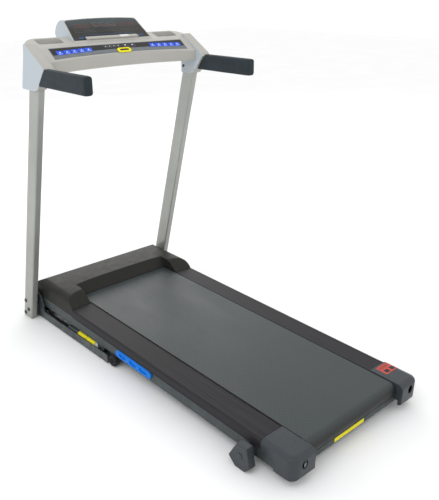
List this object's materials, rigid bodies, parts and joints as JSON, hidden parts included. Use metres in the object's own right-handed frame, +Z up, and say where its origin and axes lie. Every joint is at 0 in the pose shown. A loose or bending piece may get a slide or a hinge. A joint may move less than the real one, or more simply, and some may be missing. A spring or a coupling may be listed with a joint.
{
  "type": "treadmill",
  "caption": "Folding motor treadmill: a sloping belt deck with a gas strut and a covered motor, and leaning uprights with a console, a display pod and padded handlebars",
  "frame": {"origin": "middle of the footprint's bounding box, on the floor plane that the pads, wheels' ground line and rear feet share", "axes": "+Y runs along the running belt towards the console, +X is to the right of a runner who faces the console, +Z is up"},
  "size_m": [0.7156, 1.4606, 1.1683],
  "materials": {
    "black_steel": "satin black powder coat",
    "silver_paint": "satin silver-grey metallic paint",
    "console_plastic": "fine-grained light warm grey",
    "dark_plastic": "fine-grained dark warm grey",
    "rail_plastic": "ribbed black-grey",
    "cap_plastic": "satin blue-grey",
    "lens": "smoked display window",
    "keypad": "printed membrane overlay",
    "blue_plastic": "bright blue trim",
    "yellow_plastic": "bright yellow trim",
    "foam": "closed-cell foam sleeve",
    "belt": "woven-backed grey running belt",
    "rubber": "matt black rubber",
    "board": "waxed fibreboard",
    "bright_steel": "turned and zinc-plated",
    "circuit": "solder-masked laminate",
    "motor_paint": "semi-gloss dark enamel"
  },
  "bodies": {
    "base": {"base_frame": "black_steel", "floor_pad_front_right": "rubber", "floor_pad_front_left": "rubber", "floor_pad_rear_right": "rubber", "floor_pad_rear_left": "rubber", "wheel_bolt_right": "bright_steel", "wheel_bolt_left": "bright_steel", "upright_right": "silver_paint", "upright_left": "silver_paint", "upright_bolts_right": "black_steel", "upright_bolts_left": "black_steel", "hinge_pin_right": "bright_steel", "hinge_pin_left": "bright_steel", "handlebar_right": "black_steel", "handlebar_left": "black_steel", "foam_grip_right": "foam", "foam_grip_left": "foam", "console_housing": "console_plastic", "console_base_cover": "console_plastic", "keypad_strip": "keypad", "safety_key_socket": "yellow_plastic", "display_housing": "console_plastic", "display_back": "console_plastic", "display_panel": "lens", "book_ledge": "console_plastic", "circuit_board": "circuit"},
    "deck": {"deck_frame": "black_steel", "running_board": "board", "running_belt": "belt", "rear_axle": "bright_steel", "front_axle": "bright_steel", "roller_adjuster_right": "bright_steel", "roller_adjuster_left": "bright_steel", "drive_motor": "motor_paint", "drive_belt": "rubber", "motor_controller": "motor_paint", "motor_hood": "dark_plastic", "belly_pan": "dark_plastic", "foot_rail_right": "rail_plastic", "foot_rail_left": "rail_plastic", "rear_cap_right": "cap_plastic", "rear_cap_left": "cap_plastic", "side_insert_right": "blue_plastic", "side_insert_left": "blue_plastic", "power_inlet": "dark_plastic", "foot_bolt_right": "bright_steel", "foot_bolt_left": "bright_steel", "strut_pin": "bright_steel"},
    "front_drum": {"front_roller": "bright_steel"},
    "rear_drum": {"rear_roller": "bright_steel"},
    "motor_rotor": {"motor_flywheel": "bright_steel"},
    "wheel_right": {"transport_wheel_right": "rubber"},
    "wheel_left": {"transport_wheel_left": "rubber"},
    "foot_right": {"rear_foot_right": "cap_plastic"},
    "foot_left": {"rear_foot_left": "cap_plastic"},
    "key": {"safety_key": "dark_plastic"},
    "rocker": {"power_rocker": "dark_plastic"},
    "strut_tube": {"strut_cylinder": "black_steel"},
    "strut_shaft": {"strut_rod": "bright_steel"}
  },
  "joints": [
    {"name": "deck_fold", "type": "hinge", "parent": "base", "child": "deck", "pos_m": [0, 0.68, 0.078], "axis": [-1, 0, 0], "range_deg": [0, 67]},
    {"name": "strut_swing", "type": "hinge", "parent": "deck", "child": "strut_tube", "pos_m": [-0.29, 0.225, 0.03], "axis": [-1, 0, 0], "range_deg": [0, 2.28]},
    {"name": "strut_extend", "type": "slide", "parent": "strut_tube", "child": "strut_shaft", "axis": [0, 0.9999, -0.0151], "range_m": [0, 0.086]},
    {"name": "front_roller_spin", "type": "hinge", "parent": "deck", "child": "front_drum", "pos_m": [0, 0.50745, 0.10008], "axis": [1, 0, 0], "continuous": true},
    {"name": "rear_roller_spin", "type": "hinge", "parent": "deck", "child": "rear_drum", "pos_m": [0, -0.68022, 0.07217], "axis": [1, 0, 0], "continuous": true},
    {"name": "motor_spin", "type": "hinge", "parent": "deck", "child": "motor_rotor", "pos_m": [0, 0.61425, 0.10959], "axis": [1, 0, 0], "continuous": true},
    {"name": "wheel_right_spin", "type": "hinge", "parent": "base", "child": "wheel_right", "pos_m": [0.29875, 0.136, 0.0218], "axis": [1, 0, 0], "continuous": true},
    {"name": "wheel_left_spin", "type": "hinge", "parent": "base", "child": "wheel_left", "pos_m": [-0.29875, 0.136, 0.0218], "axis": [1, 0, 0], "continuous": true},
    {"name": "foot_right_turn", "type": "hinge", "parent": "deck", "child": "foot_right", "pos_m": [0.312, -0.564, 0.046], "axis": [1, 0, 0], "continuous": true},
    {"name": "foot_left_turn", "type": "hinge", "parent": "deck", "child": "foot_left", "pos_m": [-0.333, -0.564, 0.046], "axis": [1, 0, 0], "continuous": true},
    {"name": "safety_key_pull", "type": "slide", "parent": "base", "child": "key", "axis": [0, -0.5854, 0.8107], "range_m": [0, 0.015]},
    {"name": "power_switch_rock", "type": "hinge", "parent": "deck", "child": "rocker", "pos_m": [0.172, 0.70535, 0.10673], "axis": [1, 0, 0], "range_deg": [0, 16]}
  ],
  "couplings": [
    {"joint": "strut_swing", "follows": "deck_fold", "ratio": 0.034021},
    {"joint": "strut_extend", "follows": "deck_fold", "m_per_rad": 0.07331},
    {"joint": "rear_roller_spin", "follows": "front_roller_spin", "ratio": 1},
    {"joint": "motor_spin", "follows": "front_roller_spin", "ratio": 2.1333}
  ]
}
